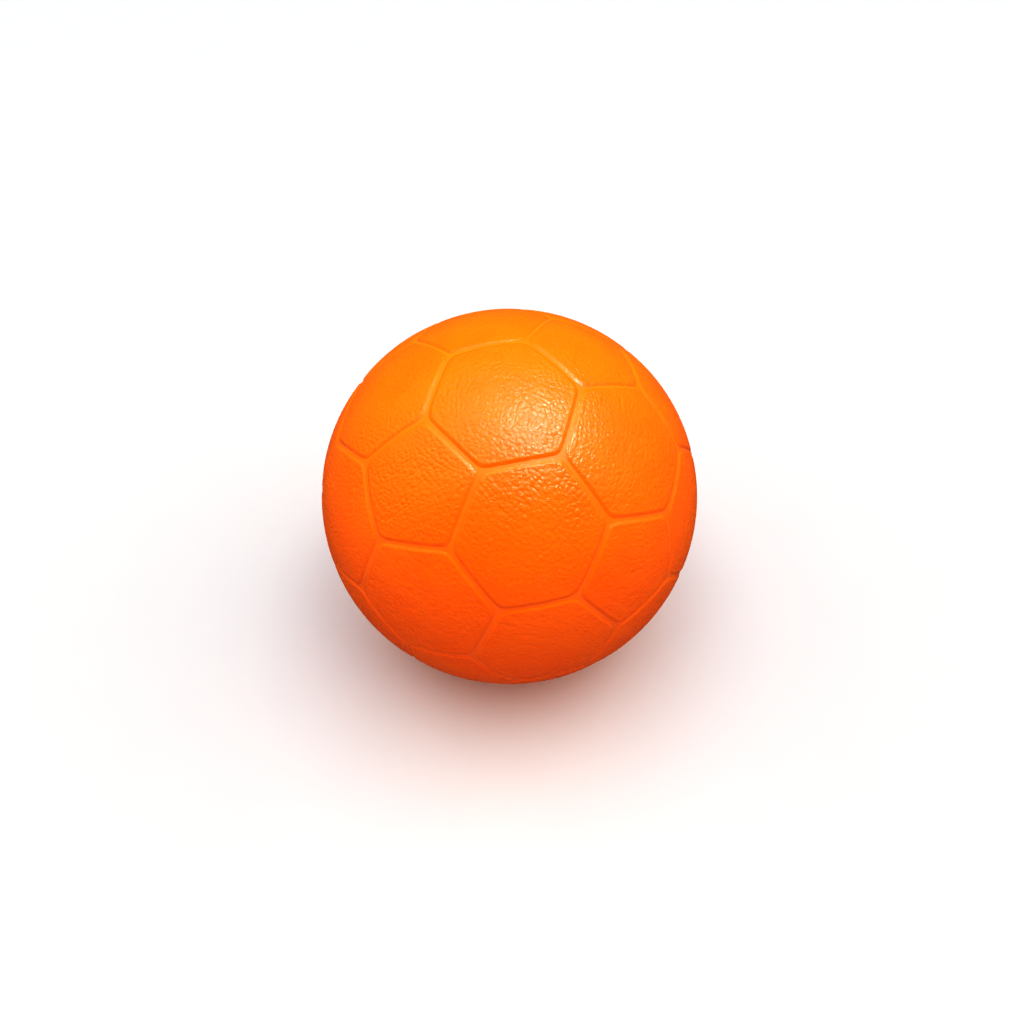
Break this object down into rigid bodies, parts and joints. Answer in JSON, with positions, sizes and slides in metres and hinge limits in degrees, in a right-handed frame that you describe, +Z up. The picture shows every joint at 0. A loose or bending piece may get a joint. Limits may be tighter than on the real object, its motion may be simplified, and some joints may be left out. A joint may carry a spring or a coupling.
{
  "type": "panelled play ball",
  "caption": "Orange inflatable play ball with grained pentagon and hexagon cover panels, rounded channels between them, and a needle valve in one hexagon.",
  "frame": {"origin": "centre of the ball", "axes": "+Z up from the resting point through the ball's centre; -Y is the side that faces the viewer; the needle valve looks towards +X and +Y, a little above the middle"},
  "size_m": [0.15, 0.1498, 0.1498],
  "materials": {
    "cover": "fine-grained orange synthetic leather, satin",
    "carcass": "smooth moulded orange rubber, satin",
    "winding": "off-white wound nylon thread set in latex",
    "bladder": "black butyl rubber, satin",
    "valve_rubber": "smooth orange rubber, satin",
    "valve_core_rubber": "smooth dark orange rubber, satin"
  },
  "bodies": {
    "root": {"butyl_bladder": "bladder", "hexagon_panel_01": "cover", "hexagon_panel_02": "cover", "hexagon_panel_03": "cover", "hexagon_panel_04": "cover", "hexagon_panel_05": "cover", "hexagon_panel_06": "cover", "hexagon_panel_07": "cover", "hexagon_panel_08": "cover", "hexagon_panel_09": "cover", "hexagon_panel_10": "cover", "hexagon_panel_11": "cover", "hexagon_panel_12": "cover", "hexagon_panel_13": "cover", "hexagon_panel_14": "cover", "hexagon_panel_15": "cover", "hexagon_panel_16": "cover", "hexagon_panel_17": "cover", "hexagon_panel_18": "cover", "hexagon_panel_19": "cover", "hexagon_panel_20": "cover", "hexagon_panel_21": "cover", "hexagon_panel_22": "cover", "hexagon_panel_23": "cover", "hexagon_panel_24": "cover", "hexagon_panel_25": "cover", "hexagon_panel_26": "cover", "hexagon_panel_27": "cover", "hexagon_panel_28": "cover", "hexagon_panel_29": "cover", "hexagon_panel_30": "cover", "pentagon_panel_01": "cover", "pentagon_panel_02": "cover", "pentagon_panel_03": "cover", "pentagon_panel_04": "cover", "pentagon_panel_05": "cover", "pentagon_panel_06": "cover", "pentagon_panel_07": "cover", "pentagon_panel_08": "cover", "pentagon_panel_09": "cover", "pentagon_panel_10": "cover", "pentagon_panel_11": "cover", "pentagon_panel_12": "cover", "rubber_carcass": "carcass", "thread_winding": "winding", "valve_core": "valve_core_rubber", "valve_housing": "valve_rubber"}
  },
  "joints": []
}
